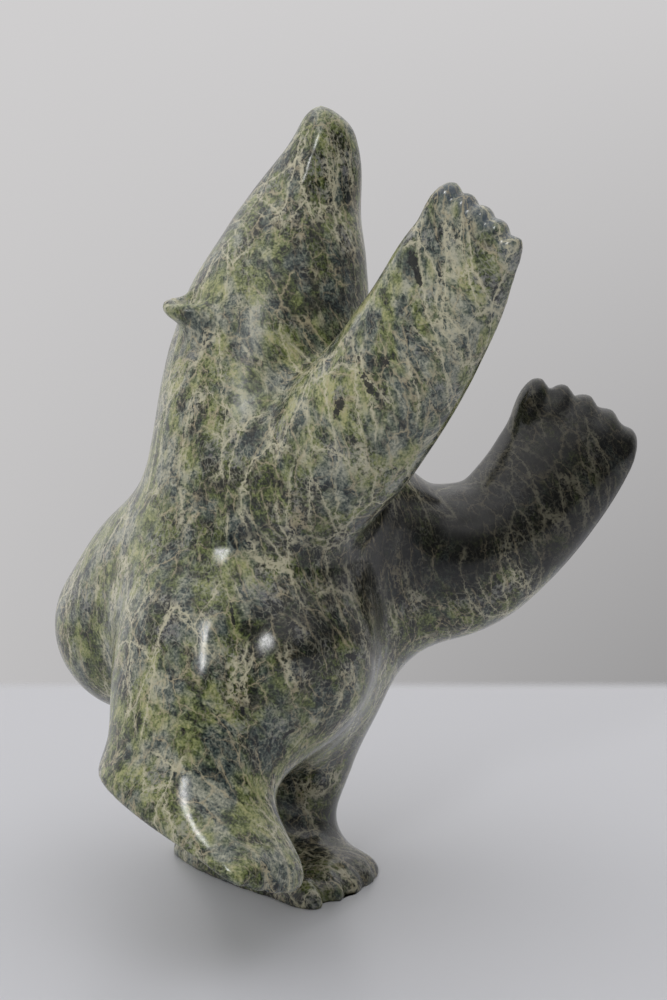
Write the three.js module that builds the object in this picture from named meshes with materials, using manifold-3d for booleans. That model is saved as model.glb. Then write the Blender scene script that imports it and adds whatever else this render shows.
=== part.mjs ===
// A dancing bear, carved from one block of green stone and polished.
// It stands on its left foot, holds the right foot off the ground, reaches up with both arms and
// throws its head back. Millimetres, +Z up, with the middle of the standing sole at the origin.
//
// Each mass of stone is a distance: negative inside, positive outside. Masses are joined with
// fillets, pared back to flats and scooped out, as the carver does. The surface where the distance
// is zero is then polygonised, cut off flat at the ground and thinned out.
import * as THREE from 'three';
import { MarchingCubes } from 'three/addons/objects/MarchingCubes.js';
import { SimplifyModifier } from 'three/addons/modifiers/SimplifyModifier.js';
import { mergeVertices } from 'three/addons/utils/BufferGeometryUtils.js';
import Module from 'manifold-3d';

// ---- driving sizes, mm ----

const BLOCK = { centre: [ 26, - 10, 148 ], half: 176 }; // the cube of stone that holds the bear
const CELL = 2; // edge of a sampling cell
const TRIANGLES = 9400; // what the finished skin is thinned to
const BARS = 9; // straight bars between two stations of a limb

const TOES = 5; // on every foot and hand
const CREASE = 1.2; // fillet between two toes
const SOLE_EDGE = 3; // softness of the raised sole's edge
const FACET_EDGE = 3; // softness of the ridge along the right hand
const JAW_EDGE = 5; // softness of the ridges along the muzzle
const NOSTRIL_LINE = 3; // fillet where the nose pad meets the muzzle

// The bear's own directions: it faces right and a little towards the front.
const FORWARD = [ 0.8, - 0.6, 0 ];
const LEFT = [ 0.6, 0.8, 0 ];
const UP = [ 0, 0, 1 ];

// The head leans: a point on its middle plane, and that plane's normal.
const HEAD = [ 12, 10, 256 ];
const HEAD_LEFT = [ 0.55, 0.81, - 0.2 ];

// ---- shapes ----

const vector = ( a ) => new THREE.Vector3( ...a );
const unit = ( a ) => vector( a ).normalize();

// Three right-angled directions: along, across and flat.
function frameOf( along, flat ) {

	const a = along.clone().normalize();
	const f = flat.clone().addScaledVector( a, - flat.dot( a ) ).normalize();
	return { along: a, flat: f, across: a.clone().cross( f ) };

}

// How far the offset x, y, z (along, across and flat) lies outside an egg with the half sizes a, b, c.
function eggDistance( x, y, z, a, b, c ) {

	const i = x / a;
	const j = y / b;
	const k = z / c;
	const size = Math.sqrt( i * i + j * j + k * k );
	if ( size < 1e-6 ) return - Math.min( a, b, c );
	return size * ( size - 1 ) / Math.hypot( i / a, j / b, k / c );

}

// An egg lying along one direction and flat across another; half is [ along, across, flat ].
function lobe( at, half, along, flat ) {

	const centre = vector( at );
	const f = frameOf( vector( along ), vector( flat ) );
	const most = Math.max( ...half );
	const q = new THREE.Vector3();
	const far = ( p ) => centre.distanceTo( p ) - most;
	const distance = ( p ) => {

		q.copy( p ).sub( centre );
		return eggDistance( q.dot( f.along ), q.dot( f.across ), q.dot( f.flat ), ...half );

	};

	return { far, distance };

}

// An oval bar that bends smoothly through its stations, each [ x, y, z, half width, half thickness ].
// flat is the direction across its thickness.
function limb( stations, flat ) {

	const middle = stations.map( ( s ) => vector( s.slice( 0, 3 ) ) );
	const girth = stations.map( ( s ) => new THREE.Vector3( s[ 3 ], s[ 4 ], 0 ) );
	const line = new THREE.CatmullRomCurve3( middle, false, 'centripetal' );
	const sizes = new THREE.CatmullRomCurve3( girth, false, 'catmullrom', 0.5 );
	const count = BARS * ( stations.length - 1 );
	const bars = [];

	for ( let i = 0; i < count; i ++ ) {

		const start = line.getPoint( i / count );
		const step = line.getPoint( ( i + 1 ) / count ).sub( start );
		const from = sizes.getPoint( i / count );
		const to = sizes.getPoint( ( i + 1 ) / count );
		bars.push( { start, step, from, to, ...frameOf( step, vector( flat ) ) } );

	}

	const box = new THREE.Box3().setFromPoints( bars.map( ( b ) => b.start ).concat( middle ) );
	const most = Math.max( ...stations.flatMap( ( s ) => [ s[ 3 ], s[ 4 ] ] ) );
	const q = new THREE.Vector3();
	const far = ( p ) => box.distanceToPoint( p ) - most;
	const distance = ( p ) => {

		let least = Infinity;

		for ( const bar of bars ) {

			q.copy( p ).sub( bar.start );
			const h = THREE.MathUtils.clamp( q.dot( bar.step ) / bar.step.lengthSq(), 0, 1 );
			q.addScaledVector( bar.step, - h );
			const width = bar.from.x + h * ( bar.to.x - bar.from.x );
			const thickness = bar.from.y + h * ( bar.to.y - bar.from.y );
			const end = Math.min( width, thickness );
			const at = [ q.dot( bar.along ), q.dot( bar.across ), q.dot( bar.flat ) ];
			least = Math.min( least, eggDistance( ...at, end, width, thickness ) );

		}

		return least;

	};

	return { far, distance };

}

// The smaller of two distances, with a fillet where they are within k of each other.
function blend( a, b, k ) {

	const h = Math.max( k - Math.abs( a - b ), 0 ) / k;
	return Math.min( a, b ) - h * h * k / 4;

}

// Joins masses; each one after the first is [ mass, fillet ].
function joined( first, ...rest ) {

	const far = ( p ) => Math.min( first.far( p ), ...rest.map( ( [ mass, k ] ) => mass.far( p ) - k / 4 ) );
	const distance = ( p ) => {

		let d = first.distance( p );

		for ( const [ mass, k ] of rest ) {

			if ( mass.far( p ) < d + k ) d = blend( d, mass.distance( p ), k );

		}

		return d;

	};

	return { far, distance };

}

// Pares a mass back to the plane through point that faces along normal.
function pared( mass, point, normal, softness ) {

	const n = unit( normal );
	const offset = n.dot( vector( point ) );
	const distance = ( p ) => - blend( - mass.distance( p ), offset - n.dot( p ), softness );
	return { far: mass.far, distance };

}

// Scoops the hollow out of a mass.
function scooped( mass, hollow, softness ) {

	const distance = ( p ) => - blend( - mass.distance( p ), hollow.distance( p ), softness );
	return { far: mass.far, distance };

}

// A point or direction seen in a mirror that stands across a direction and goes through a point.
function mirrored( a, across, through = [ 0, 0, 0 ] ) {

	const n = unit( across );
	const p = vector( a );
	const depth = n.dot( p ) - n.dot( vector( through ) );
	return p.addScaledVector( n, - 2 * depth ).toArray();

}

// Toes side by side with their tips on the arc through tips. The half sizes change evenly from the
// first toe to the last.
function toes( tips, first, last, along, flat ) {

	const [ a, m, b ] = tips.map( vector );
	const bend = m.clone().multiplyScalar( 2 ).addScaledVector( a, - 0.5 ).addScaledVector( b, - 0.5 );
	const arc = new THREE.QuadraticBezierCurve3( a, bend, b );
	const row = [];

	for ( let i = 0; i < TOES; i ++ ) {

		const half = first.map( ( h, k ) => THREE.MathUtils.lerp( h, last[ k ], i / ( TOES - 1 ) ) );
		const at = arc.getPoint( ( i + 0.5 ) / TOES ).addScaledVector( unit( along ), - half[ 0 ] );
		row.push( [ lobe( at.toArray(), half, along, flat ), CREASE ] );

	}

	return joined( row[ 0 ][ 0 ], ...row.slice( 1 ) );

}

// ---- the bear ----

function body() {

	const trunk = limb( [
		[ - 8, - 5, 88, 50, 44 ], // seat
		[ - 7, - 3, 112, 49, 44 ],
		[ - 3, 0, 150, 48, 44 ], // chest
		[ - 3, 3, 170, 45, 42 ],
		[ - 3.4, 5, 190, 40.4, 38 ], // shoulders
		[ - 0.2, 6, 214, 34.2, 34 ], // neck
	], FORWARD );
	const rump = limb( [
		[ - 6, 6, 136, 39, 33 ],
		[ - 33, 22, 117, 44, 39 ],
		[ - 51.5, 34, 95, 41.5, 37.5 ],
	], [ - 0.5, 0.4, 0.75 ] );
	const rightThigh = lobe( [ - 20, - 31, 95 ], [ 31, 31, 34 ], LEFT, UP );
	const belly = lobe( [ 8, - 27, 98 ], [ 32, 30, 34 ], LEFT, UP );
	return joined( trunk, [ rump, 19 ], [ rightThigh, 24 ], [ belly, 14 ] );

}

function head() {

	const neck = limb( [
		[ 0.6, 7, 200, 34.8, 35 ],
		[ 3.2, 8, 222, 30.7, 32 ],
		[ 7, 9, 240, 25.2, 28 ],
	], FORWARD );
	const skull = lobe( [ 8, 8, 240 ], [ 26, 24.4, 25 ], [ 0.27, 0.06, 0.96 ], FORWARD );
	let muzzle = limb( [
		[ 12.5, 8.4, 242, 23.7, 27 ],
		[ 14.3, 7.2, 257, 22.8, 23.6 ],
		[ 18.3, 5.2, 272, 17.6, 17 ],
		[ 20.2, 3.4, 283, 12.7, 12.4 ],
	], FORWARD );

	// Along each side a ridge runs from the nose to the cheek, between two flats.
	const ridge = [ 11, - 14, 265 ];
	const flats = [ [ - 0.6, - 0.75, 0.31 ], [ 0.5, - 0.83, - 0.02 ] ];

	for ( const normal of flats ) {

		muzzle = pared( muzzle, ridge, normal, JAW_EDGE );
		muzzle = pared( muzzle, mirrored( ridge, HEAD_LEFT, HEAD ), mirrored( normal, HEAD_LEFT ), JAW_EDGE );

	}

	let nose = lobe( [ 20.6, 3.6, 289 ], [ 10.2, 9.4, 9.4 ], [ - 0.1, - 0.1, 1 ], FORWARD );
	nose = pared( nose, [ 25.4, 3.6, 295.8 ], [ 0.66, - 0.1, 0.74 ], 4 );
	return joined( neck, [ skull, 10 ], [ muzzle, 8 ], [ nose, NOSTRIL_LINE ] );

}

// A leaf of stone that points outwards, with a hollow in the side towards the nose.
function rightEar() {

	const along = [ - 0.86, - 0.48, 0.17 ];
	const flat = [ - 0.1, - 0.35, 0.93 ];
	const leaf = { at: [ - 23.5, - 10, 221.5 ], half: [ 18, 11, 6.5 ], along, flat };
	const hollow = { at: [ - 25.7, - 12.9, 226.8 ], half: [ 13, 7.6, 5.3 ], along, flat };
	return { leaf, hollow };

}

function ears() {

	const right = rightEar();
	const carve = ( { leaf, hollow } ) => scooped(
		lobe( leaf.at, leaf.half, leaf.along, leaf.flat ),
		lobe( hollow.at, hollow.half, hollow.along, hollow.flat ),
		2,
	);
	const mirror = ( { at, half, along, flat } ) => ( {
		at: mirrored( at, HEAD_LEFT, HEAD ),
		half,
		along: mirrored( along, HEAD_LEFT ),
		flat: mirrored( flat, HEAD_LEFT ),
	} );
	const left = { leaf: mirror( right.leaf ), hollow: mirror( right.hollow ) };
	return joined( carve( right ), [ carve( left ), 1 ] );

}

function rightArm() {

	const palm = [ - 0.48, - 0.86, - 0.14 ];
	const reach = [ 0.52, - 0.41, 0.75 ];
	const arm = limb( [
		[ 10, - 26, 158, 28, 28 ], // under the shoulder
		[ 20.5, - 31, 168.2, 27.2, 26.5 ],
		[ 31, - 40, 181.8, 26.7, 24.8 ],
		[ 48.6, - 52, 206.6, 23.6, 20 ], // elbow
		[ 56.2, - 60, 221.5, 19, 15 ],
	], palm );
	let hand = limb( [
		[ 44, - 49, 199, 19, 17 ],
		[ 49.2, - 53, 209.5, 21.2, 18.5 ],
		[ 56.5, - 60, 221.4, 22.2, 17.5 ],
		[ 62.5, - 66, 234, 21.4, 14.5 ],
		[ 68, - 72.5, 245, 18.6, 10 ],
		[ 70, - 74, 249, 14, 7 ],
	], palm );
	const tips = [ [ 61, - 72.3, 266.6 ], [ 73.2, - 79, 257.2 ], [ 85.5, - 86.5, 244.2 ] ];
	const fingers = toes( tips, [ 8, 4.2, 8 ], [ 8, 4.1, 8 ], reach, palm );
	hand = joined( hand, [ fingers, 4 ] );

	// The palm is flat, and a ridge parts it from the outer side of the hand.
	const ridge = [ 70, - 80, 226 ];
	hand = pared( hand, ridge, [ - 0.42, - 0.89, - 0.04 ], FACET_EDGE );
	hand = pared( hand, ridge, [ 0.45, - 0.72, - 0.48 ], FACET_EDGE );
	return joined( arm, [ hand, 5 ] );

}

function leftArm() {

	const palm = [ 0.2, 0.95, 0.2 ];
	const reach = [ 0.42, 0.14, 0.9 ];
	const arm = limb( [
		[ 24, 22, 138, 34, 30 ], // shoulder
		[ 54, 31, 120.4, 34, 29 ],
		[ 75, 33, 121.6, 31.4, 27 ],
		[ 91, 34, 130, 27.5, 23 ], // elbow
		[ 106, 36, 145.8, 26.8, 18 ],
		[ 115.5, 38, 159.4, 26.9, 14 ], // wrist
		[ 122, 40, 170.5, 26.4, 11 ],
		[ 125, 41, 176.5, 23.8, 8 ],
	], palm );
	const tips = [ [ 103, 40, 195.5 ], [ 128, 42, 188 ], [ 150, 44, 169.4 ] ];
	const fingers = toes( tips, [ 10, 5.5, 6.5 ], [ 10, 5.2, 6.5 ], reach, palm );
	return joined( arm, [ fingers, 5 ] );

}

function rightLeg() {

	const sole = [ - 0.45, - 0.07, - 0.89 ];
	const leg = limb( [
		[ - 16, - 28, 92, 34, 34 ], // hip
		[ - 25, - 42, 70, 34, 30 ], // knee
		[ - 31, - 52, 50, 32, 26 ], // ankle
	], LEFT );
	const foot = limb( [
		[ - 40, - 42, 46, 24, 20 ], // heel
		[ - 14, - 65, 36, 26, 18 ],
		[ - 3, - 75, 29, 22, 13 ],
	], sole );
	const tips = [ [ - 9, - 97, 32 ], [ 2.5, - 84, 27 ], [ 11, - 61, 20 ] ];
	const claws = toes( tips, [ 10, 4.5, 7 ], [ 10, 4, 7 ], [ 0.75, - 0.5, - 0.35 ], sole );
	return pared( joined( leg, [ foot, 12 ], [ claws, 4 ] ), [ - 61.3, - 45, 55.6 ], sole, SOLE_EDGE );

}

function leftLeg() {

	const leg = limb( [
		[ 17.5, 20, 93, 34.5, 32 ], // hip
		[ 8, 22, 58, 29.5, 27.5 ], // knee
		[ 2, 22, 30, 25, 24 ], // ankle
		[ - 8, 22, 8, 26, 26 ],
	], LEFT );
	const foot = limb( [
		[ - 22, 33, 0, 25, 14 ], // heel
		[ 4, 6, 0, 28, 16 ],
		[ 21, - 13, 0, 24, 11.5 ], // ball
	], UP );
	const tips = [ [ 14, - 40, 1 ], [ 33, - 21, 1 ], [ 40, 2, 1 ] ];
	const claws = toes( tips, [ 9, 5, 8 ], [ 8, 4.4, 5 ], [ 0.77, - 0.64, 0 ], UP );
	return joined( leg, [ foot, 14 ], [ claws, 5 ] );

}

const stone = joined(
	body(),
	[ head(), 12 ],
	[ ears(), 5 ],
	[ rightLeg(), 16 ],
	[ leftLeg(), 18 ],
	[ leftArm(), 24 ],
	[ rightArm(), 9 ],
);

// ---- the surface of the stone ----

// Samples the block. Cubes of cells that lie well inside or outside the stone get one sample each.
function sampled() {

	const cube = 4;
	const size = cube * Math.ceil( 2 * BLOCK.half / CELL / cube );
	const pitch = 2 * BLOCK.half / size;
	const corner = vector( BLOCK.centre ).subScalar( BLOCK.half );
	const grid = new MarchingCubes( size, new THREE.MeshStandardMaterial(), false, false, 150000 );
	const p = new THREE.Vector3();
	const sample = ( i, j, k ) => - stone.distance( p.set( i, j, k ).multiplyScalar( pitch ).add( corner ) );
	const reach = 1.3 * cube * pitch;
	const steps = [ ...Array( cube ).keys() ];
	const cells = steps.flatMap( ( x ) => steps.flatMap( ( y ) => steps.map( ( z ) => [ x, y, z ] ) ) );
	grid.isolation = 0;

	for ( let i = 0; i < size; i += cube ) {

		for ( let j = 0; j < size; j += cube ) {

			for ( let k = 0; k < size; k += cube ) {

				const middle = sample( i + 1.5, j + 1.5, k + 1.5 );
				const near = Math.abs( middle ) < reach;

				for ( const [ x, y, z ] of cells ) {

					const value = near ? sample( i + x, j + y, k + z ) : middle;
					grid.setCell( i + x, j + y, k + z, value );

				}

			}

		}

	}

	return grid;

}

// Moves a point onto the surface, along the slope of the distance.
function settle( p ) {

	const e = 0.05;
	const q = new THREE.Vector3();
	const slope = new THREE.Vector3();

	for ( let turn = 0; turn < 2; turn ++ ) {

		const d = stone.distance( p );

		for ( const axis of [ 'x', 'y', 'z' ] ) {

			q.copy( p );
			q[ axis ] += e;
			slope[ axis ] = ( stone.distance( q ) - d ) / e;

		}

		const step = d / Math.max( slope.lengthSq(), 0.2 );
		p.addScaledVector( slope, - THREE.MathUtils.clamp( step, - 1, 1 ) );

	}

}

function surface() {

	const grid = sampled();
	grid.update();
	const soup = new THREE.BufferGeometry();
	const corners = grid.positionArray.slice( 0, 3 * grid.count );
	soup.setAttribute( 'position', new THREE.BufferAttribute( corners, 3 ) );
	soup.scale( BLOCK.half, BLOCK.half, BLOCK.half ).translate( ...BLOCK.centre );
	const skin = mergeVertices( soup, 1e-3 );
	const at = skin.attributes.position;
	const p = new THREE.Vector3();

	for ( let i = 0; i < at.count; i ++ ) {

		settle( p.fromBufferAttribute( at, i ) );
		at.setXYZ( i, p.x, p.y, p.z );

	}

	return skin;

}

// ---- solids ----

const wasm = await Module();
wasm.setup();

function solidOf( geometry ) {

	const bare = new THREE.BufferGeometry();
	bare.setAttribute( 'position', geometry.attributes.position );
	bare.setIndex( geometry.index );
	const closed = mergeVertices( bare, 1e-4 );
	return new wasm.Manifold( new wasm.Mesh( {
		numProp: 3,
		vertProperties: new Float32Array( closed.attributes.position.array ),
		triVerts: new Uint32Array( closed.index.array ),
	} ) );

}

function geometryOf( solid ) {

	const mesh = solid.getMesh();
	const geometry = new THREE.BufferGeometry();
	geometry.setAttribute( 'position', new THREE.BufferAttribute( mesh.vertProperties, 3 ) );
	geometry.setIndex( new THREE.BufferAttribute( mesh.triVerts, 1 ) );
	return geometry;

}

// The ground takes off what is below the standing sole.
const ground = new THREE.BoxGeometry( 400, 400, 60 ).translate( 0, 0, - 30 );
const full = geometryOf( solidOf( surface() ).subtract( solidOf( ground ) ) );
const spare = full.attributes.position.count - TRIANGLES / 2;
const skin = await new SimplifyModifier().modify( full, spare );

const bear = new THREE.Mesh(
	geometryOf( solidOf( skin ) ),
	new THREE.MeshStandardMaterial( { color: 0x5c6650, roughness: 0.25, metalness: 0 } ),
);
bear.name = 'bear';

const dancer = new THREE.Group();
dancer.name = 'dancing_bear';
dancer.add( bear );
export default dancer;
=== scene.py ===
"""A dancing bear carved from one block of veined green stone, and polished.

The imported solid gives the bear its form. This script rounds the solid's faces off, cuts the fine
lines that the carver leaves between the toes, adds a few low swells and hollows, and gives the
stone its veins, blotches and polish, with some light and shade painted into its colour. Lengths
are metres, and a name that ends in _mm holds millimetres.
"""

from __future__ import annotations

import logging
import math
from dataclasses import dataclass
from enum import Enum
from typing import Union

import bmesh
import bpy
from mathutils import Euler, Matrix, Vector, noise
from mathutils.geometry import intersect_point_line


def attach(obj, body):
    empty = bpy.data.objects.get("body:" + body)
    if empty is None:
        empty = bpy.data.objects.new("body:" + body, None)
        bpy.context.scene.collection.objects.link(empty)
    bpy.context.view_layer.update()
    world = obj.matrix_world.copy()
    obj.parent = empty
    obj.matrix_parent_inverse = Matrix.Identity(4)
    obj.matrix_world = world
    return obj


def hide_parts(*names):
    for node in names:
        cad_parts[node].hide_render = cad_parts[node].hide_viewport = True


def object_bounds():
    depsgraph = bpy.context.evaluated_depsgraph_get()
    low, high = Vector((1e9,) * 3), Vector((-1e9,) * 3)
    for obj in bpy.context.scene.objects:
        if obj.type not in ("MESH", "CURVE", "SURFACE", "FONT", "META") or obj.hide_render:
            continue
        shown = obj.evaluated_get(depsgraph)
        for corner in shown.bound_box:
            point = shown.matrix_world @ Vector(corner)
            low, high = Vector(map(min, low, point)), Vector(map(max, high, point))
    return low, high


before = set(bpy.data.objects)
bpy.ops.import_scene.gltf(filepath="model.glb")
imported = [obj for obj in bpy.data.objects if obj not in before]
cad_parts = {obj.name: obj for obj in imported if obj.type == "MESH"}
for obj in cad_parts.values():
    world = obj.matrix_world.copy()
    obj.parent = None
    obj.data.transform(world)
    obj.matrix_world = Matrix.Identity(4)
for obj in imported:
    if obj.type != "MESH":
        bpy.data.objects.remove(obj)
CAD_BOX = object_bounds()

MM = 0.001
# What sizes are counted in where a place is measured in grains.
GRAIN = 1.0
# Soft noise swings about this mean, and seldom by more than the spread.
NOISE_MEAN = 0.5
NOISE_SPREAD = 0.25
LOG = logging.getLogger("bear")

Triple = tuple[float, float, float]
Socket = bpy.types.NodeSocket
Source = Union[float, tuple, Socket]


def metres(point_mm: Triple) -> Vector:
    """Turns a point in millimetres into one in metres.

    Args:
        point_mm: The point in millimetres.

    Returns:
        The same point in metres.
    """
    return Vector(point_mm) * MM


def ease(x: float) -> float:
    """Falls smoothly from 1 at x = 0 to 0 at x = 1.

    Args:
        x: How far along the fall, held within 0 and 1.

    Returns:
        The height of the fall at x.
    """
    t = min(max(x, 0.0), 1.0)
    return 1.0 - t * t * (3.0 - 2.0 * t)


class Tint(Enum):
    """The stone's colours and one painted shade, each as display red, green and blue out of 255."""

    OLIVE_DARK = (26, 30, 20)
    OLIVE_DEEP = (52, 61, 32)
    OLIVE = (93, 104, 54)
    SAGE = (134, 142, 90)
    STRAW = (178, 177, 124)
    BOTTLE = (20, 27, 28)
    TEAL = (42, 54, 55)
    SLATE = (78, 90, 84)
    ASH = (132, 137, 124)
    CHALK = (182, 182, 162)
    CREAM = (206, 201, 172)
    TAN = (192, 180, 148)
    LILAC = (146, 147, 150)
    JET = (22, 23, 27)
    # The blue-grey of painted shade on the toes' sloping end faces.
    TOE_SHADE_BLUE = (96, 106, 116)

    def linear(self) -> tuple[float, float, float, float]:
        """Turns the display colour into a scene-linear one.

        Returns:
            Linear red, green, blue and an alpha of 1.
        """
        parts = [c / 255.0 for c in self.value]
        red, green, blue = (
            c / 12.92 if c <= 0.04045 else ((c + 0.055) / 1.055) ** 2.4 for c in parts
        )
        return (red, green, blue, 1.0)


@dataclass(frozen=True)
class Noise:
    """Soft noise: how wide its clouds are, in millimetres or in grains, and its finer layers."""

    size: float
    detail: float = 2.0
    roughness: float = 0.5


@dataclass(frozen=True)
class Change:
    """A smooth change from start to end, as some value passes from low to high."""

    low: float
    high: float
    start: float = 0.0
    end: float = 1.0


class NodeSheet:
    """Adds shader nodes to one tree and wires them together."""

    def __init__(self, tree: bpy.types.NodeTree) -> None:
        """Keeps the tree that the nodes go into.

        Args:
            tree: A material's or world's node tree.
        """
        self.tree = tree

    def node(self, kind: str, inputs: dict, **settings: object) -> bpy.types.Node:
        """Adds one node.

        Args:
            kind: The node's type name.
            inputs: A value or socket for each input, by its name or index.
            **settings: Values for the node's own properties.

        Returns:
            The new node.
        """
        made = self.tree.nodes.new(kind)
        for name, value in settings.items():
            setattr(made, name, value)
        for key, value in inputs.items():
            if isinstance(value, Socket):
                self.tree.links.new(value, made.inputs[key])
            else:
                made.inputs[key].default_value = value
        return made

    def calc(self, operation: str, *terms: Source, clamp: bool = False) -> Socket:
        """Works out a number.

        Args:
            operation: The sum to do, such as ADD.
            *terms: One to three numbers or sockets.
            clamp: Whether the result is held within 0 and 1.

        Returns:
            The result's socket.
        """
        inputs = dict(enumerate(terms))
        made = self.node("ShaderNodeMath", inputs, operation=operation, use_clamp=clamp)
        return made.outputs[0]

    def product(self, *terms: Source) -> Socket:
        """Multiplies numbers.

        Args:
            *terms: Two or more numbers or sockets.

        Returns:
            The product's socket.
        """
        total = terms[0]
        for term in terms[1:]:
            total = self.calc("MULTIPLY", total, term)
        return total

    def swing(self, value: Source, strength: float, total: Source, clamp: bool = False) -> Socket:
        """Adds a noise to a total, less the noise's mean, so that it swings both ways.

        Args:
            value: The noise, from 0 to 1.
            strength: How strong it is.
            total: What it is added to.
            clamp: Whether the result is held within 0 and 1.

        Returns:
            The new total's socket.
        """
        away = self.calc("SUBTRACT", value, NOISE_MEAN)
        return self.calc("MULTIPLY_ADD", away, strength, total, clamp=clamp)

    def vector(self, operation: str, *terms: Source) -> Socket:
        """Works out a vector; SCALE takes a vector and a number.

        Args:
            operation: The sum to do, such as ADD.
            *terms: The vectors or sockets.

        Returns:
            The result's socket.
        """
        inputs = dict(enumerate(terms))
        if operation == "SCALE":
            inputs = {0: terms[0], "Scale": terms[1]}
        result = self.node("ShaderNodeVectorMath", inputs, operation=operation)
        return result.outputs["Value" if operation in ("LENGTH", "DISTANCE") else "Vector"]

    def step(
        self, value: Source, low: Source, high: Source, start: float = 0.0, end: float = 1.0
    ) -> Socket:
        """Goes smoothly from one number to another as a value passes between two bounds.

        Args:
            value: What is compared.
            low: Where the change starts.
            high: Where it ends.
            start: The result at low and below.
            end: The result at high and above.

        Returns:
            The result's socket.
        """
        inputs = {"Value": value, "From Min": low, "From Max": high, "To Min": start, "To Max": end}
        return self.node("ShaderNodeMapRange", inputs, interpolation_type="SMOOTHSTEP").outputs[0]

    def change(self, value: Source, change: Change) -> Socket:
        """Makes a smooth change whose bounds are plain numbers.

        Args:
            value: What is compared.
            change: The change.

        Returns:
            The result's socket.
        """
        return self.step(value, change.low, change.high, change.start, change.end)

    def fall(self, value: Source, reach: Source) -> Socket:
        """Falls smoothly from 1 where a value is 0 to 0 where it is the reach or more."""
        return self.step(value, 0.0, reach, 1.0, 0.0)

    def clouds(self, place: Source, soft: Noise, unit: float = MM) -> bpy.types.Node:
        """Adds soft noise.

        Args:
            place: Where it is read.
            soft: The noise.
            unit: What its size is counted in: MM, or GRAIN where the place is measured in grains.

        Returns:
            The noise node.
        """
        scale = 1.0 / (soft.size * unit)
        inputs = {"Vector": place, "Scale": scale}
        inputs |= {"Detail": soft.detail, "Roughness": soft.roughness}
        return self.node("ShaderNodeTexNoise", inputs)

    def level(self, place: Source, soft: Noise, unit: float = MM) -> Socket:
        """Adds soft noise and gives its level, from 0 to 1, as clouds does its node."""
        return self.clouds(place, soft, unit).outputs[0]

    def edges(self, place: Source, dimensions: str = "3D") -> Socket:
        """Splits space, measured in grains, into grains and measures how far their edges are.

        Args:
            place: The place, in grains.
            dimensions: 3D for grains, or 2D for columns that run up and down.

        Returns:
            The distance's socket.
        """
        inputs = {"Vector": place, "Scale": GRAIN}
        made = self.node(
            "ShaderNodeTexVoronoi",
            inputs,
            feature="DISTANCE_TO_EDGE",
            voronoi_dimensions=dimensions,
        )
        return made.outputs["Distance"]

    def blend(self, share: Source, first: Source, second: Source) -> Socket:
        """Mixes two colours.

        Args:
            share: How much of the second there is.
            first: The colour underneath.
            second: The colour on top.

        Returns:
            The mixed colour's socket.
        """
        inputs = {0: share, 6: first, 7: second}
        return self.node("ShaderNodeMix", inputs, data_type="RGBA").outputs[2]

    def ramp(self, value: Source, places: tuple[float, ...], tints: tuple[Tint, ...]) -> Socket:
        """Turns a number into a colour.

        Args:
            value: The number.
            places: Places from 0 to 1.
            tints: The tint at each place.

        Returns:
            The colour's socket.
        """
        made = self.node("ShaderNodeValToRGB", {"Fac": value})
        elements = made.color_ramp.elements
        while len(elements) < len(places):
            elements.new(0.5)
        for element, place, tint in zip(elements, places, tints):
            element.position = place
            element.color = tint.linear()
        return made.outputs["Color"]


@dataclass(frozen=True)
class Sway:
    """A soft push to and fro: how far it reaches to each side, and the noise that it follows."""

    reach_mm: float
    noise: Noise


@dataclass(frozen=True)
class Zone:
    """A ball-shaped part of the block, fading out at its edge, used for lighter and darker tone
    (partly the stone's own, partly painted light and shade), for painted blue-grey shade and for a
    duller polish.
    """

    centre_mm: Triple
    radius_mm: float
    amount: float


@dataclass(frozen=True)
class Inclusion:
    """A ragged black speck in the stone: where it is, its half sizes, and how it is turned."""

    centre_mm: Triple
    half_mm: Triple
    turn: Triple = (0.0, 0.0, 0.0)


@dataclass(frozen=True)
class Layer:
    """One size of grain in the stone, how strongly its grains differ, and how soft they are."""

    grain_mm: Triple
    contrast: float
    softness: float


@dataclass(frozen=True)
class Web:
    """A web of fine light veins round the grains of one size.

    The width and the halo of crumbs are shares of a grain. The veins fade in and out in patches.
    """

    grain_mm: Triple
    width: float
    halo: float
    patches: Noise
    patch: Change
    tint: Tint


@dataclass(frozen=True)
class LongVeins:
    """A set of thin light veins that run the length of the block, nearly side by side."""

    apart_mm: float
    lean: Triple
    width_mm: float
    halo_mm: float
    strength: float
    patches: Noise
    patch: Change
    tint: Tint


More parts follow.
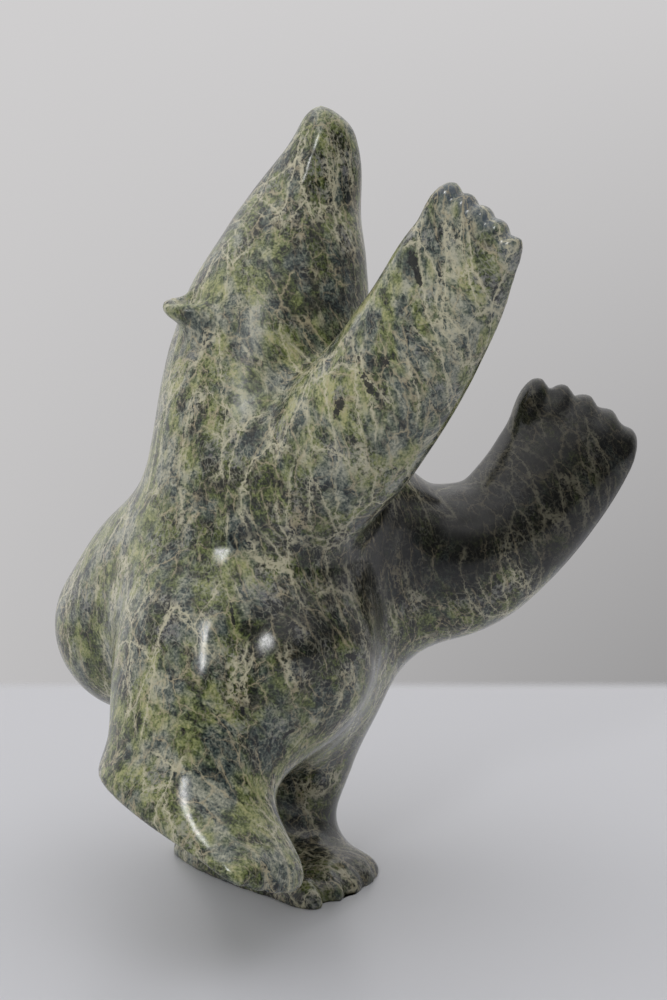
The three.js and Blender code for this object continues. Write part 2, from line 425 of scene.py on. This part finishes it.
@dataclass(frozen=True)
class VeinedStone:
    """Polished green stone: lens-shaped blotches, fine and long light veins, black specks, and some
    painted light and shade.
    """

    slot: str = "stone"
    # The veins lean to the right as they go down, and more so towards the right of the block.
    lean: float = 0.2
    fan: float = 1.8
    depth_lean: float = 0.12
    middle_mm: float = 150.0
    bends: tuple[Sway, ...] = (Sway(0.8, Noise(6.0, 2.0)), Sway(0.4, Noise(1.9, 3.0)))
    wide_bend: Sway = Sway(4.0, Noise(46.0, 1.0))
    zone_bend: Sway = Sway(7.0, Noise(16.0, 1.0))
    # How light the stone is: broad zones (with painted light and shade), patches, lenses, islands,
    # cells, fibres and fine grain.
    base_tone: float = 0.445
    patches: Noise = Noise(34.0, 2.0)
    patch_contrast: float = 0.5
    layers: tuple[Layer, ...] = (
        Layer((8.0, 8.0, 17.0), 0.42, 0.25),
        Layer((3.4, 3.4, 5.2), 0.36, 0.08),
    )
    islands: Noise = Noise(7.0, 4.0, 0.62)
    island: Change = Change(0.5, 0.58, 0.0, 0.28)
    fibre_mm: Triple = (1.6, 1.6, 2.8)
    fibres: Noise = Noise(1.0, 3.0, 0.6)
    fibre_contrast: float = 1.0
    grain: Noise = Noise(0.9, 2.0, 0.6)
    grain_contrast: float = 1.15
    dust: Noise = Noise(1.7, 4.0, 0.75)
    # In a dark zone the whole colour, veins too, is dimmed, partly for darker stone and partly as
    # painted shade. The tone stops falling at the darkest zone.
    dim: Change = Change(-0.5, -0.1, 0.2, 1.0)
    darkest_zone: float = -0.38
    # A zone fades to nothing at this many of its radii.
    zone_spread: float = 1.6
    # Beside the stone's own lighter and darker parts, the zones hold painted light and shade: the
    # dark ones in the armpit, under the jaw, under the belly, at the foot of the block and on the
    # far arm and paw are partly painted shade, and the light ones on the near arm, chest and neck
    # are partly painted light.
    zones: tuple[Zone, ...] = (
        Zone((12, -55, 186), 24, 0.24),
        Zone((42, -60, 202), 34, 0.22),
        Zone((62, -72, 240), 26, 0.12),
        Zone((-45, -16, 171), 30, 0.16),
        Zone((-70, -8, 112), 46, 0.1),
        Zone((-22, -75, 62), 28, 0.14),
        Zone((62, 6, 138), 32, -0.3),
        Zone((-14, -18, 222), 36, 0.22),
        Zone((24, -10, 262), 24, -0.14),
        Zone((14, -24, 228), 20, -0.16),
        Zone((4, -50, 168), 22, -0.18),
        Zone((32, -26, 124), 40, -0.36),
        Zone((8, -58, 104), 20, -0.22),
        Zone((-34, -55, 112), 12, -0.2),
        Zone((120, 34, 170), 52, -1.0),
        Zone((80, 8, 116), 20, -0.2),
        Zone((24, -6, 4), 40, -0.38),
    )
    # Olive and blue-green ground, each from dark to pale, in clouds of either.
    tones: tuple[float, ...] = (0.0, 0.22, 0.45, 0.68, 0.95)
    olives: tuple[Tint, ...] = (
        Tint.OLIVE_DARK, Tint.OLIVE_DEEP, Tint.OLIVE, Tint.SAGE, Tint.STRAW,
    )
    blues: tuple[Tint, ...] = (Tint.BOTTLE, Tint.TEAL, Tint.SLATE, Tint.ASH, Tint.CHALK)
    cloud_mm: Triple = (12.0, 12.0, 22.0)
    clouds: Noise = Noise(1.0, 2.0, 0.6)
    cloud: Change = Change(0.44, 0.62)
    # Pale lilac dust in patches, and painted blue-grey shade on the sloping end faces of the raised
    # hand's toes.
    frosts: Noise = Noise(15.0, 3.0, 0.6)
    frosty: Change = Change(0.5, 0.66)
    frost_strength: float = 0.5
    toe_end_shades: tuple[Zone, ...] = (
        Zone((60.5, -76, 263), 4.2, 0.9),
        Zone((67.5, -79, 258), 4.2, 0.8),
        Zone((74, -81, 253), 4.2, 0.8),
        Zone((79.5, -84, 246.5), 4.2, 0.8),
    )
    toe_shade_fray: Change = Change(0.3, 0.5, 0.5, 1.2)
    toe_shade_most: float = 0.75
    # Crumbs are the dust's peaks. More of the dust counts as a peak near a vein.
    crumb: Change = Change(0.58, 0.74)
    crumb_near: float = 0.18
    webs: tuple[Web, ...] = (
        Web(
            (2.1, 2.1, 3.2), 0.11, 0.3,
            Noise(15.0, 3.0, 0.6), Change(0.4, 0.6, 0.12, 0.55), Tint.CHALK,
        ),
        Web(
            (5.2, 5.2, 11.0), 0.034, 0.16,
            Noise(21.0, 3.0, 0.6), Change(0.42, 0.62, 0.12, 0.8), Tint.TAN,
        ),
    )
    web_fray: Change = Change(0.36, 0.55, 0.1, 1.0)
    web_crumbs: float = 0.32
    veins: tuple[LongVeins, ...] = (
        LongVeins(
            8.0, (0.05, -0.04, 0.0), 0.3, 1.2, 0.7,
            Noise(18.0, 2.0, 0.6), Change(0.44, 0.56), Tint.TAN,
        ),
        LongVeins(
            13.0, (-0.1, 0.1, 0.0), 0.42, 2.0, 0.9,
            Noise(30.0, 2.0, 0.6), Change(0.42, 0.54), Tint.CREAM,
        ),
        LongVeins(
            22.0, (0.28, -0.2, 0.0), 0.46, 2.0, 0.85,
            Noise(30.0, 2.0, 0.6), Change(0.44, 0.56), Tint.CREAM,
        ),
    )
    vein_thin: Change = Change(0.38, 0.6, 0.25, 1.0)
    vein_core: float = 0.4
    vein_blur_mm: float = 0.14
    vein_crumbs: float = 0.75
    specks: tuple[Inclusion, ...] = (
        Inclusion((49.6, -71, 241), (1.9, 4.0, 3.4)),
        Inclusion((51.2, -72, 235), (1.3, 4.0, 4.4), (0.0, -0.3, 0.0)),
        Inclusion((35, -68, 199), (1.8, 4.0, 4.6), (0.0, -0.5, 0.0)),
        Inclusion((41, -68, 206), (2.0, 4.0, 2.4)),
        Inclusion((25, -66, 191), (2.0, 5.0, 4.0), (0.0, 0.3, 0.0)),
        Inclusion((15, -64, 205), (1.8, 5.0, 4.0), (0.0, 0.4, 0.0)),
        Inclusion((-12, -60, 118), (0.7, 4.0, 5.0), (0.0, -0.2, 0.0)),
        Inclusion((30, -48, 100), (4.2, 4.0, 1.2), (0.0, 0.5, 0.0)),
        Inclusion((8, -61, 76), (4.0, 4.0, 1.1), (0.0, -0.5, 0.0)),
        Inclusion((9, -58, 114), (1.2, 4.0, 1.8)),
        Inclusion((-8, -69, 86), (0.8, 4.0, 3.0), (0.0, -0.3, 0.0)),
    )
    speck_reach: float = 1.7
    rags: Noise = Noise(3.0, 4.0, 0.8)
    rag_strength: float = 2.6
    speck: Change = Change(0.5, 0.6, 0.0, 0.92)
    speck_near: Change = Change(0.03, 0.2)
    # The polish, a little duller on the cheek.
    roughness: Change = Change(0.3, 0.7, 0.15, 0.23)
    dull: Zone = Zone((-8, -26, 214), 36, 0.2)
    bump_strength: float = 0.1
    bump_mm: float = 0.1
    refraction: float = 1.56

    def dress(self, piece: bpy.types.Object) -> None:
        """Gives a piece this finish.

        Args:
            piece: The piece to finish.
        """
        material = bpy.data.materials.new("veined_stone")
        material.use_nodes = True
        material.node_tree.nodes.clear()
        self.mix(NodeSheet(material.node_tree))
        piece.data.materials.clear()
        piece.data.materials.append(material)

    def mix(self, sheet: NodeSheet) -> None:
        """Builds the whole finish.

        Args:
            sheet: The material's node sheet.
        """
        place = sheet.node("ShaderNodeTexCoord", {}).outputs["Object"]
        grain = sheet.level(place, self.grain)
        dust = sheet.level(place, self.dust)
        flow = self.fanned(sheet, self.swayed(sheet, place, self.wide_bend))
        for bend in self.bends:
            flow = self.swayed(sheet, flow, bend)
        # The zones hold painted light and painted shade as well as the stone's own tone.
        zone = self.zone(sheet, place)
        tone = self.tone(sheet, place, flow, grain, zone)
        colour = self.ground(sheet, flow, tone)
        # Painted blue-grey shade on the end faces of the raised hand's toes.
        colour = self.shade_toe_ends(sheet, place, colour, dust)
        colour = self.frost(sheet, place, colour, dust)
        for web in self.webs:
            colour = self.web(sheet, place, flow, dust, web, colour)
        for veins in self.veins:
            colour = self.long_veins(sheet, place, flow, dust, veins, colour)
        # Dark zones dim the whole colour, veins too: partly darker stone, partly painted shade.
        colour = sheet.vector("SCALE", colour, sheet.change(zone, self.dim))
        colour = self.add_specks(sheet, place, colour)
        inputs = {"Strength": self.bump_strength, "Distance": self.bump_mm * MM, "Height": grain}
        bump = sheet.node("ShaderNodeBump", inputs).outputs[0]
        gloss = sheet.change(grain, self.roughness)
        gloss = sheet.calc("ADD", gloss, self.field(sheet, place, self.dull))
        inputs = {"Base Color": colour, "Roughness": gloss, "IOR": self.refraction, "Normal": bump}
        shader = sheet.node("ShaderNodeBsdfPrincipled", inputs)
        sheet.node("ShaderNodeOutputMaterial", {"Surface": shader.outputs[0]})

    def swayed(self, sheet: NodeSheet, place: Source, sway: Sway) -> Socket:
        """Pushes the block's space softly to and fro, so that nothing in it runs dead straight.

        Args:
            sheet: The material's node sheet.
            place: The place before.
            sway: The push.

        Returns:
            The pushed place's socket.
        """
        pushes = sheet.clouds(place, sway.noise).outputs["Color"]
        push = sheet.vector("SUBTRACT", pushes, (NOISE_MEAN, NOISE_MEAN, NOISE_MEAN))
        push = sheet.vector("SCALE", push, sway.reach_mm * MM / NOISE_SPREAD)
        return sheet.vector("ADD", place, push)

    def fanned(self, sheet: NodeSheet, place: Source) -> Socket:
        """Slants the block's space, so that its upright lines lean as the veins do.

        Args:
            sheet: The material's node sheet.
            place: The upright place.

        Returns:
            The slanted place's socket.
        """
        parts = sheet.node("ShaderNodeSeparateXYZ", {0: place})
        across, deep, up = (parts.outputs[axis] for axis in "XYZ")
        height = sheet.calc("SUBTRACT", up, self.middle_mm * MM)
        slope = sheet.calc("MULTIPLY_ADD", across, self.fan, self.lean)
        leant = sheet.calc("MULTIPLY_ADD", height, slope, across)
        tipped = sheet.calc("MULTIPLY_ADD", height, self.depth_lean, deep)
        return sheet.node("ShaderNodeCombineXYZ", {"X": leant, "Y": tipped, "Z": up}).outputs[0]

    def grains(
        self, sheet: NodeSheet, flow: Source, size_mm: Triple, lean: Triple = (0.0, 0.0, 0.0)
    ) -> Socket:
        """Measures the slanted space in grains.

        Args:
            sheet: The material's node sheet.
            flow: The slanted place.
            size_mm: A grain's width, depth and length.
            lean: How far the grains are turned from the slant.

        Returns:
            The place's socket, in grains.
        """
        inputs = {"Vector": flow, "Rotation": Euler(lean), "Scale": metres(size_mm)}
        return sheet.node("ShaderNodeMapping", inputs, vector_type="TEXTURE").outputs[0]

    def field(self, sheet: NodeSheet, place: Source, zone: Zone) -> Socket:
        """Swells from nothing at a zone's edge to its amount at its middle.

        Args:
            sheet: The material's node sheet.
            place: The place.
            zone: The zone.

        Returns:
            The swell's socket.
        """
        away = sheet.vector("DISTANCE", place, metres(zone.centre_mm))
        return sheet.step(away, 0.0, self.zone_spread * zone.radius_mm * MM, zone.amount, 0.0)

    def zone(self, sheet: NodeSheet, place: Source) -> Socket:
        """Adds up the block's light and dark zones: the stone's own tone, with painted light and
        painted shade.

        Args:
            sheet: The material's node sheet.
            place: The place.

        Returns:
            The sum's socket: above 0 in a light zone and below 0 in a dark one.
        """
        bent = self.swayed(sheet, place, self.zone_bend)
        total: Source = 0.0
        for zone in self.zones:
            total = sheet.calc("ADD", total, self.field(sheet, bent, zone))
        return total

    def tone(
        self, sheet: NodeSheet, place: Source, flow: Source, grain: Source, zone: Source
    ) -> Socket:
        """Works out how light the stone is, from dark 0 to pale 1.

        Args:
            sheet: The material's node sheet.
            place: The place.
            flow: The slanted place.
            grain: The finest grain's noise.
            zone: The sum of the light and dark zones, painted light and shade among them.

        Returns:
            The tone's socket.
        """
        total = sheet.calc("MAXIMUM", zone, self.darkest_zone)
        total = sheet.calc("ADD", total, self.base_tone)
        for layer in self.layers:
            cells = self.grains(sheet, flow, layer.grain_mm)
            inputs = {"Vector": cells, "Smoothness": layer.softness, "Scale": GRAIN}
            made = sheet.node("ShaderNodeTexVoronoi", inputs, feature="SMOOTH_F1")
            share = sheet.node("ShaderNodeSeparateColor", {0: made.outputs["Color"]}).outputs[0]
            total = sheet.swing(share, layer.contrast, total)
        total = sheet.swing(sheet.level(place, self.patches), self.patch_contrast, total)
        island = sheet.change(sheet.level(flow, self.islands), self.island)
        total = sheet.calc("SUBTRACT", total, island)
        fibres = sheet.level(self.grains(sheet, flow, self.fibre_mm), self.fibres, GRAIN)
        total = sheet.swing(fibres, self.fibre_contrast, total)
        return sheet.swing(grain, self.grain_contrast, total, clamp=True)

    def ground(self, sheet: NodeSheet, flow: Source, tone: Source) -> Socket:
        """Colours the stone between its veins, partly in olive and partly in blue-green.

        Args:
            sheet: The material's node sheet.
            flow: The slanted place.
            tone: How light the stone is there.

        Returns:
            The colour's socket.
        """
        olive = sheet.ramp(tone, self.tones, self.olives)
        blue = sheet.ramp(tone, self.tones, self.blues)
        cloud = sheet.level(self.grains(sheet, flow, self.cloud_mm), self.clouds, GRAIN)
        return sheet.blend(sheet.change(cloud, self.cloud), olive, blue)

    def shade_toe_ends(self, sheet: NodeSheet, place: Source, colour: Source, dust: Source) -> Socket:
        """Paints blue-grey shade on the tips of the right hand's toes, where their end faces slope
        away.

        Args:
            sheet: The material's node sheet.
            place: The place.
            colour: The colour underneath.
            dust: The noise that frays the painted shade.

        Returns:
            The shaded colour's socket.
        """
        total: Source = 0.0
        for toe_shade in self.toe_end_shades:
            total = sheet.calc("MAXIMUM", total, self.field(sheet, place, toe_shade))
        frayed = sheet.product(total, sheet.change(dust, self.toe_shade_fray))
        share = sheet.calc("MINIMUM", frayed, self.toe_shade_most)
        # Painted blue-grey shade where the toes' end faces slope away.
        return sheet.blend(share, colour, Tint.TOE_SHADE_BLUE.linear())

    def crumbs(self, sheet: NodeSheet, dust: Source, near: Source) -> Socket:
        """Scatters pale crumbs, close together where near is 1 and rare where it is 0.

        Args:
            sheet: The material's node sheet.
            dust: The noise that the crumbs are cut from.
            near: How close the nearest vein is.

        Returns:
            The crumbs' socket: 1 in one, 0 between them.
        """
        lifted = sheet.calc("MULTIPLY_ADD", near, self.crumb_near, dust)
        return sheet.change(lifted, self.crumb)

    def frost(self, sheet: NodeSheet, place: Source, colour: Source, dust: Source) -> Socket:
        """Dusts patches of the stone with pale lilac grains.

        Args:
            sheet: The material's node sheet.
            place: The place.
            colour: The colour underneath.
            dust: The noise that the grains are cut from.

        Returns:
            The dusted colour's socket.
        """
        patch = sheet.change(sheet.level(place, self.frosts), self.frosty)
        share = sheet.product(self.crumbs(sheet, dust, patch), patch, self.frost_strength)
        return sheet.blend(share, colour, Tint.LILAC.linear())

    def web(
        self, sheet: NodeSheet, place: Source, flow: Source, dust: Source, web: Web, colour: Source
    ) -> Socket:
        """Lays one web of fine veins over a colour.

        Args:
            sheet: The material's node sheet.
            place: The place.
            flow: The slanted place.
            dust: The noise that the crumbs are cut from.
            web: The web.
            colour: The colour underneath.

        Returns:
            The webbed colour's socket.
        """
        edge = sheet.edges(self.grains(sheet, flow, web.grain_mm))
        there = sheet.change(sheet.level(place, web.patches), web.patch)
        line = sheet.product(sheet.fall(edge, web.width), sheet.change(dust, self.web_fray))
        near = sheet.fall(edge, web.halo)
        crumbs = sheet.product(self.crumbs(sheet, dust, near), self.web_crumbs)
        share = sheet.product(sheet.calc("MAXIMUM", line, crumbs), there)
        return sheet.blend(share, colour, web.tint.linear())

    def long_veins(
        self,
        sheet: NodeSheet,
        place: Source,
        flow: Source,
        dust: Source,
        veins: LongVeins,
        colour: Source,
    ) -> Socket:
        """Lays one set of long veins over a colour.

        Args:
            sheet: The material's node sheet.
            place: The place.
            flow: The slanted place.
            dust: The noise that the crumbs are cut from.
            veins: The set of veins.
            colour: The colour underneath.

        Returns:
            The veined colour's socket.
        """
        apart = (veins.apart_mm, veins.apart_mm, veins.apart_mm)
        columns = self.grains(sheet, flow, apart, veins.lean)
        edge_mm = sheet.product(sheet.edges(columns, "2D"), veins.apart_mm)
        there = sheet.change(sheet.level(place, veins.patches), veins.patch)
        half_mm = sheet.product(sheet.change(dust, self.vein_thin), 0.5 * veins.width_mm)
        core_mm = sheet.product(half_mm, self.vein_core)
        side_mm = sheet.calc("ADD", half_mm, self.vein_blur_mm)
        line = sheet.step(edge_mm, core_mm, side_mm, 1.0, 0.0)
        near = sheet.fall(edge_mm, veins.halo_mm)
        crumbs = sheet.product(self.crumbs(sheet, dust, near), near, self.vein_crumbs)
        share = sheet.product(sheet.calc("MAXIMUM", line, crumbs), there, veins.strength)
        return sheet.blend(share, colour, veins.tint.linear())

    def add_specks(self, sheet: NodeSheet, place: Source, colour: Source) -> Socket:
        """Sets the few ragged black specks into the stone.

        Args:
            sheet: The material's node sheet.
            place: The place.
            colour: The colour underneath.

        Returns:
            The speckled colour's socket.
        """
        total: Source = 0.0
        for speck in self.specks:
            inputs = {
                "Vector": place,
                "Location": metres(speck.centre_mm),
                "Rotation": Euler(speck.turn),
                "Scale": metres(speck.half_mm),
            }
            inside = sheet.node("ShaderNodeMapping", inputs, vector_type="TEXTURE").outputs[0]
            reach = sheet.fall(sheet.vector("LENGTH", inside), self.speck_reach)
            total = sheet.calc("MAXIMUM", total, reach)
        ragged = sheet.swing(sheet.level(place, self.rags), self.rag_strength, total)
        share = sheet.change(ragged, self.speck)
        share = sheet.product(share, sheet.change(total, self.speck_near))
        return sheet.blend(share, colour, Tint.JET.linear())


@dataclass(frozen=True)
class Paw:
    """The end of a limb: five toes with their tips on a bow, and the lines cut between them."""

    tips_mm: tuple[Triple, Triple, Triple]
    along: Triple
    flat: Triple
    length_mm: float = 11.0
    width_mm: float = 1.5
    depth_mm: float = 0.9
    toes: int = 5
    # How far the lines reach from the middle toe's tip, and past the tips as a share of a line.
    reach_mm: float = 45.0
    past_tip: float = 0.5

    def cuts(self) -> list[tuple[Vector, Vector]]:
        """Lists the line between each two toes, from the tip inwards.

        Returns:
            The two ends of each line.
        """
        first, middle, last = (metres(p) for p in self.tips_mm)
        bend = 2.0 * middle - 0.5 * (first + last)
        back = Vector(self.along).normalized() * self.length_mm * MM
        lines = []
        for gap in range(1, self.toes):
            t = gap / self.toes
            tip = (1 - t) ** 2 * first + 2 * t * (1 - t) * bend + t * t * last
            lines.append((tip, tip - back))
        return lines

    def depth(self, point: Vector) -> float:
        """Works out how deep the lines between the toes are at a point.

        Args:
            point: A point on the skin.

        Returns:
            The depth there.
        """
        if (point - metres(self.tips_mm[1])).length > self.reach_mm * MM:
            return 0.0
        depth = 0.0
        flat = Vector(self.flat).normalized()
        for tip, root in self.cuts():
            near, share = intersect_point_line(point, tip, root)
            if share < -self.past_tip or share > 1.0:
                continue
            away = point - near
            aside = (away - flat * away.dot(flat)).length
            side = ease(aside / (self.width_mm * MM))
            depth = max(depth, self.depth_mm * MM * side * ease(share))
        return depth


@dataclass(frozen=True)
class Swell:
    """A low swell or hollow in the skin, too soft for the solid's faces."""

    centre_mm: Triple
    reach_mm: float
    height_mm: float

    def lift(self, point: Vector) -> float:
        """Works out how far the skin is lifted at a point.

        Args:
            point: A point on the skin.

        Returns:
            The lift there; below 0 in a hollow.
        """
        away = (point - metres(self.centre_mm)).length
        return self.height_mm * MM * ease(away / (self.reach_mm * MM))


@dataclass
class StoneBear:
    """The one piece of stone: its rounded form and its finer carving."""

    node: str = "bear"
    name: str = "stone_bear"
    weld_mm: float = 0.001
    voxel_mm: float = 1.45
    rounds: int = 4
    round_share: float = 0.5
    hand_waves_mm: float = 0.12
    wave_size_mm: float = 14.0
    paws: tuple[Paw, ...] = (
        Paw(
            ((61, -72.3, 266.6), (73.2, -79, 257.2), (85.5, -86.5, 244.2)),
            (0.52, -0.41, 0.75),
            (-0.48, -0.86, -0.14),
            depth_mm=0.5,
        ),
        Paw(
            ((103, 40, 195.5), (128, 42, 188), (150, 44, 169.4)),
            (0.42, 0.14, 0.9),
            (0.2, 0.95, 0.2),
        ),
        Paw(
            ((-9, -97, 32), (2.5, -84, 27), (11, -61, 20)),
            (0.75, -0.5, -0.35),
            (-0.45, -0.07, -0.89),
        ),
        Paw(
            ((14, -40, 1), (33, -21, 1), (40, 2, 1)),
            (0.77, -0.64, 0),
            (0, 0, 1),
            depth_mm=0.5,
        ),
    )
    # The thigh, the belly and the valley between them.
    trunk: tuple[Swell, ...] = (
        Swell((-22, -66, 95), 18, 1.6),
        Swell((10, -60, 104), 17, 2.8),
        Swell((-7, -63, 110), 14, -1.6),
    )
    # The ridge at the root of the right ear.
    ear: tuple[Swell, ...] = (
        Swell((-29, -21, 223.5), 8, 1.8),
        Swell((-23, -23, 222), 7, 1.3),
        Swell((-17, -26, 220.5), 7, 0.9),
    )
    # Notches between the raised foot's toes.
    notches: tuple[Swell, ...] = (
        Swell((7, -83.5, 28), 4.2, -1.7),
        Swell((6.5, -84, 32.5), 3.6, -1.0),
        Swell((1.5, -89, 31), 4.2, -1.6),
        Swell((0.5, -89, 35), 3.6, -0.9),
        Swell((-4, -93, 33.5), 4, -1.2),
    )
    finish: VeinedStone = VeinedStone()

    def build(self) -> bpy.types.Object:
        """Makes the bear, finishes it and puts it in the solid's place.

        Returns:
            The finished piece.
        """
        piece = self.remesh(self.rounded())
        self.carve(piece.data)
        self.finish.dress(piece)
        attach(piece, "root")
        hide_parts(self.node)
        return piece

    def rounded(self) -> bpy.types.Object:
        """Copies the solid and curves its flat faces.

        Returns:
            An object that holds the curved copy.
        """
        form = bmesh.new()
        form.from_mesh(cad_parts[self.node].data)
        bmesh.ops.remove_doubles(form, verts=form.verts, dist=self.weld_mm * MM)
        bmesh.ops.subdivide_edges(form, edges=form.edges, cuts=1, smooth=1.0, use_grid_fill=True)
        mesh = bpy.data.meshes.new(self.name)
        form.to_mesh(mesh)
        form.free()
        piece = bpy.data.objects.new(self.name, mesh)
        bpy.context.scene.collection.objects.link(piece)
        return piece

    def remesh(self, piece: bpy.types.Object) -> bpy.types.Object:
        """Gives the piece an even mesh and evens out what is left of the flat faces.

        Args:
            piece: The curved copy.

        Returns:
            The same object, with its new mesh.
        """
        even = piece.modifiers.new("even", "REMESH")
        even.mode = "VOXEL"
        even.voxel_size = self.voxel_mm * MM
        soft = piece.modifiers.new("soft", "SMOOTH")
        soft.factor = self.round_share
        soft.iterations = self.rounds
        view = bpy.context.evaluated_depsgraph_get()
        mesh = bpy.data.meshes.new_from_object(piece.evaluated_get(view))
        piece.modifiers.clear()
        piece.data = mesh
        mesh.name = self.name
        mesh.polygons.foreach_set("use_smooth", [True] * len(mesh.polygons))
        return piece

    def carve(self, mesh: bpy.types.Mesh) -> None:
        """Cuts the toe lines, lifts the swells and leaves the faint waves of handwork.

        The skin stays inside the solid's box, which also keeps the sole flat.

        Args:
            mesh: The bear's mesh.
        """
        form = bmesh.new()
        form.from_mesh(mesh)
        form.normal_update()
        low, high = CAD_BOX
        swells = self.trunk + self.ear + self.notches
        for vertex in form.verts:
            depth = sum(paw.depth(vertex.co) for paw in self.paws)
            lift = sum(swell.lift(vertex.co) for swell in swells)
            wave = noise.noise(vertex.co / (self.wave_size_mm * MM)) * self.hand_waves_mm * MM
            vertex.co += vertex.normal * (lift + wave - depth)
            for axis in range(3):
                vertex.co[axis] = min(max(vertex.co[axis], low[axis]), high[axis])
        form.to_mesh(mesh)
        form.free()


@dataclass
class Studio:
    """A pale table, a soft surround, a window-shaped light and the camera."""

    aim: Triple = (0.0234, 0.0, 0.1502)
    camera_away: float = 0.5791
    camera_drop: float = 8.0
    lens_mm: float = 54.0
    sensor_mm: float = 36.0
    table_back: float = 0.298
    table_half: float = 2.5
    table_fade: float = 0.024
    table_colour: Triple = (0.6, 0.61, 0.64)
    table_roughness: float = 0.3
    # The surround's light by direction: front to wall, the ceiling, and the left side.
    wall: Change = Change(-0.3, 0.7, 0.1, 0.54)
    ceiling: Change = Change(0.3, 0.95, 0.0, 0.66)
    left: Change = Change(-0.95, -0.25, 0.4, 0.0)
    surround_colour: Triple = (1.0, 0.985, 0.99)
    # The wall grows darker downwards and to the right, within these bounds of direction.
    shade_side: float = 0.25
    shade_low: float = -0.3
    shade_high: float = 0.25
    shade_rise: float = 0.83
    shade_rise_right: float = 1.68
    shade_right: float = -0.37
    window_place: Triple = (-0.42, -1.24, 0.92)
    window_size: tuple[float, float] = (0.2, 0.32)
    window_watts: float = 3.4

    def build(self) -> None:
        """Sets up the table, the lights and the camera."""
        self.table()
        self.world()
        self.window()
        self.camera()
        bpy.context.scene.view_settings.view_transform = "Standard"

    def table(self) -> None:
        """Lays the pale, slightly glossy table top under the bear."""
        form = bmesh.new()
        bmesh.ops.create_grid(form, x_segments=1, y_segments=1, size=self.table_half)
        middle = (0.0, self.table_back - self.table_half, 0.0)
        bmesh.ops.translate(form, verts=form.verts, vec=middle)
        mesh = bpy.data.meshes.new("table")
        form.to_mesh(mesh)
        form.free()
        top = bpy.data.objects.new("table", mesh)
        bpy.context.scene.collection.objects.link(top)
        mesh.materials.append(self.table_finish())

    def table_finish(self) -> bpy.types.Material:
        """Makes the table's finish, which fades into the wall at the back edge.

        Returns:
            The material.
        """
        material = bpy.data.materials.new("pale_table")
        material.use_nodes = True
        material.node_tree.nodes.clear()
        sheet = NodeSheet(material.node_tree)
        place = sheet.node("ShaderNodeTexCoord", {}).outputs["Object"]
        deep = sheet.node("ShaderNodeSeparateXYZ", {0: place}).outputs["Y"]
        inputs = {"Base Color": (*self.table_colour, 1.0), "Roughness": self.table_roughness}
        face = sheet.node("ShaderNodeBsdfPrincipled", inputs).outputs[0]
        gone = sheet.step(deep, self.table_back - self.table_fade, self.table_back)
        clear = sheet.node("ShaderNodeBsdfTransparent", {}).outputs[0]
        mixed = sheet.node("ShaderNodeMixShader", {0: gone, 1: face, 2: clear})
        sheet.node("ShaderNodeOutputMaterial", {"Surface": mixed.outputs[0]})
        return material

    def world(self) -> None:
        """Surrounds the bear with soft light, brightest above and on the left, and dim in front."""
        world = bpy.data.worlds.new("soft_surround")
        bpy.context.scene.world = world
        world.use_nodes = True
        world.node_tree.nodes.clear()
        sheet = NodeSheet(world.node_tree)
        way = sheet.node("ShaderNodeTexCoord", {}).outputs["Generated"]
        parts = sheet.node("ShaderNodeSeparateXYZ", {0: way})
        across, back, up = (parts.outputs[axis] for axis in "XYZ")
        level = sheet.change(back, self.wall)
        level = sheet.calc("ADD", level, sheet.change(up, self.ceiling))
        level = sheet.calc("ADD", level, sheet.change(across, self.left))
        level = sheet.product(level, self.shade(sheet, across, up))
        inputs = {"Color": (*self.surround_colour, 1.0), "Strength": level}
        light = sheet.node("ShaderNodeBackground", inputs)
        sheet.node("ShaderNodeOutputWorld", {"Surface": light.outputs[0]})

    def shade(self, sheet: NodeSheet, across: Source, up: Source) -> Socket:
        """Shades the surround downwards and to the right.

        Args:
            sheet: The world's node sheet.
            across: How far the direction points to the right.
            up: How far it points up.

        Returns:
            The socket of what the light is multiplied by.
        """
        side = sheet.calc("MINIMUM", across, self.shade_side)
        side = sheet.calc("MAXIMUM", side, -self.shade_side)
        rise = sheet.calc("MINIMUM", up, self.shade_high)
        rise = sheet.calc("MAXIMUM", rise, self.shade_low)
        slope = sheet.calc("MULTIPLY_ADD", side, self.shade_rise_right, self.shade_rise)
        level = sheet.calc("MULTIPLY_ADD", side, self.shade_right, 1.0)
        return sheet.calc("MULTIPLY_ADD", rise, slope, level)

    def window(self) -> None:
        """Hangs the window-shaped light, which faces the bear."""
        light = bpy.data.lights.new("front_window", "AREA")
        light.shape = "RECTANGLE"
        light.size, light.size_y = self.window_size
        light.energy = self.window_watts
        lamp = bpy.data.objects.new("front_window", light)
        lamp.location = self.window_place
        facing = Vector(self.aim) - Vector(self.window_place)
        lamp.rotation_euler = facing.to_track_quat("-Z", "Y").to_euler()
        bpy.context.scene.collection.objects.link(lamp)

    def camera(self) -> None:
        """Sets the camera in front of the bear, looking slightly down."""
        drop = math.radians(self.camera_drop)
        back = Vector((0.0, -math.cos(drop), math.sin(drop)))
        data = bpy.data.cameras.new("camera")
        data.lens = self.lens_mm
        data.sensor_width = self.sensor_mm
        eye = bpy.data.objects.new("camera", data)
        eye.location = Vector(self.aim) + back * self.camera_away
        eye.rotation_euler = (math.radians(90.0) - drop, 0.0, 0.0)
        bpy.context.scene.collection.objects.link(eye)
        bpy.context.scene.camera = eye


def main() -> None:
    """Builds the bear and the studio."""
    logging.basicConfig(level=logging.INFO, format="%(message)s")
    bear = StoneBear().build()
    LOG.info("%s: %d faces", bear.name, len(bear.data.polygons))
    Studio().build()


if __name__ == "__main__":
    main()
